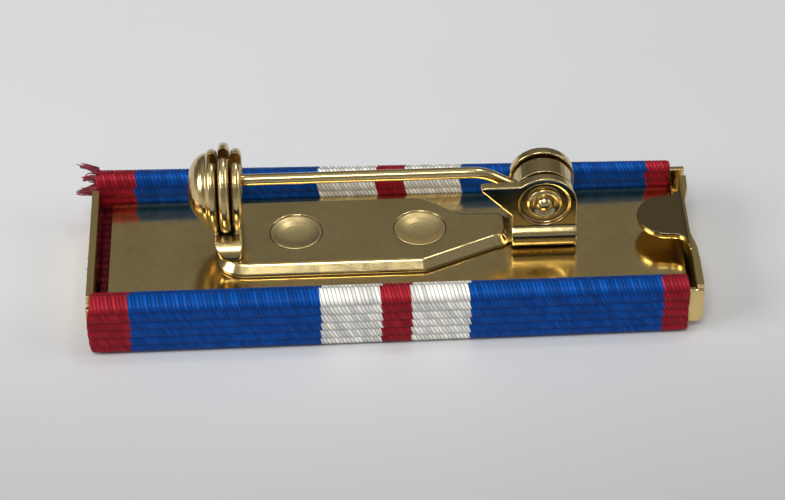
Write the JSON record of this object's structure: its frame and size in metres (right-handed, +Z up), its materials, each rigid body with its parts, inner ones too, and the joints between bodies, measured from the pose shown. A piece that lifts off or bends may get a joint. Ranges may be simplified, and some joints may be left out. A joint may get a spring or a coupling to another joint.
{
  "type": "medal ribbon bar",
  "caption": "Undress medal ribbon bar seen from its back: striped ribbon folded over a brass tray, held by a plate with a hinged brooch pin and a rolling safety catch.",
  "frame": {"origin": "on the surface that the bar lies on, under the middle of the bar", "axes": "+X along the bar from the catch to the joint, +Z up from the ribbon's face to the brooch, -Y towards the front long side"},
  "size_m": [0.0332, 0.0114, 0.0081],
  "materials": {
    "polished_brass": "polished, lightly tarnished",
    "satin_brass": "satin lacquered, fine scratches",
    "ribbon": "ribbed silk weave in crimson, blue and white stripes"
  },
  "bodies": {
    "bar": {"tray": "polished_brass", "ribbon": "ribbon", "back_plate": "satin_brass", "brooch_base": "satin_brass", "strip_rivet_left": "polished_brass", "strip_rivet_right": "polished_brass", "joint_rivet": "polished_brass", "catch_housing": "polished_brass"},
    "pin": {"pin": "polished_brass"},
    "collar": {"safety_collar": "polished_brass"}
  },
  "joints": [
    {"name": "pin_hinge", "type": "hinge", "parent": "bar", "child": "pin", "pos_m": [0.00832, 0.0012, 0.00485], "axis": [0, 1, 0], "range_deg": [0, 100]},
    {"name": "collar_roll", "type": "hinge", "parent": "bar", "child": "collar", "pos_m": [-0.00906, 0.0012, 0.0056], "axis": [1, 0, 0], "range_deg": [0, 80]}
  ]
}
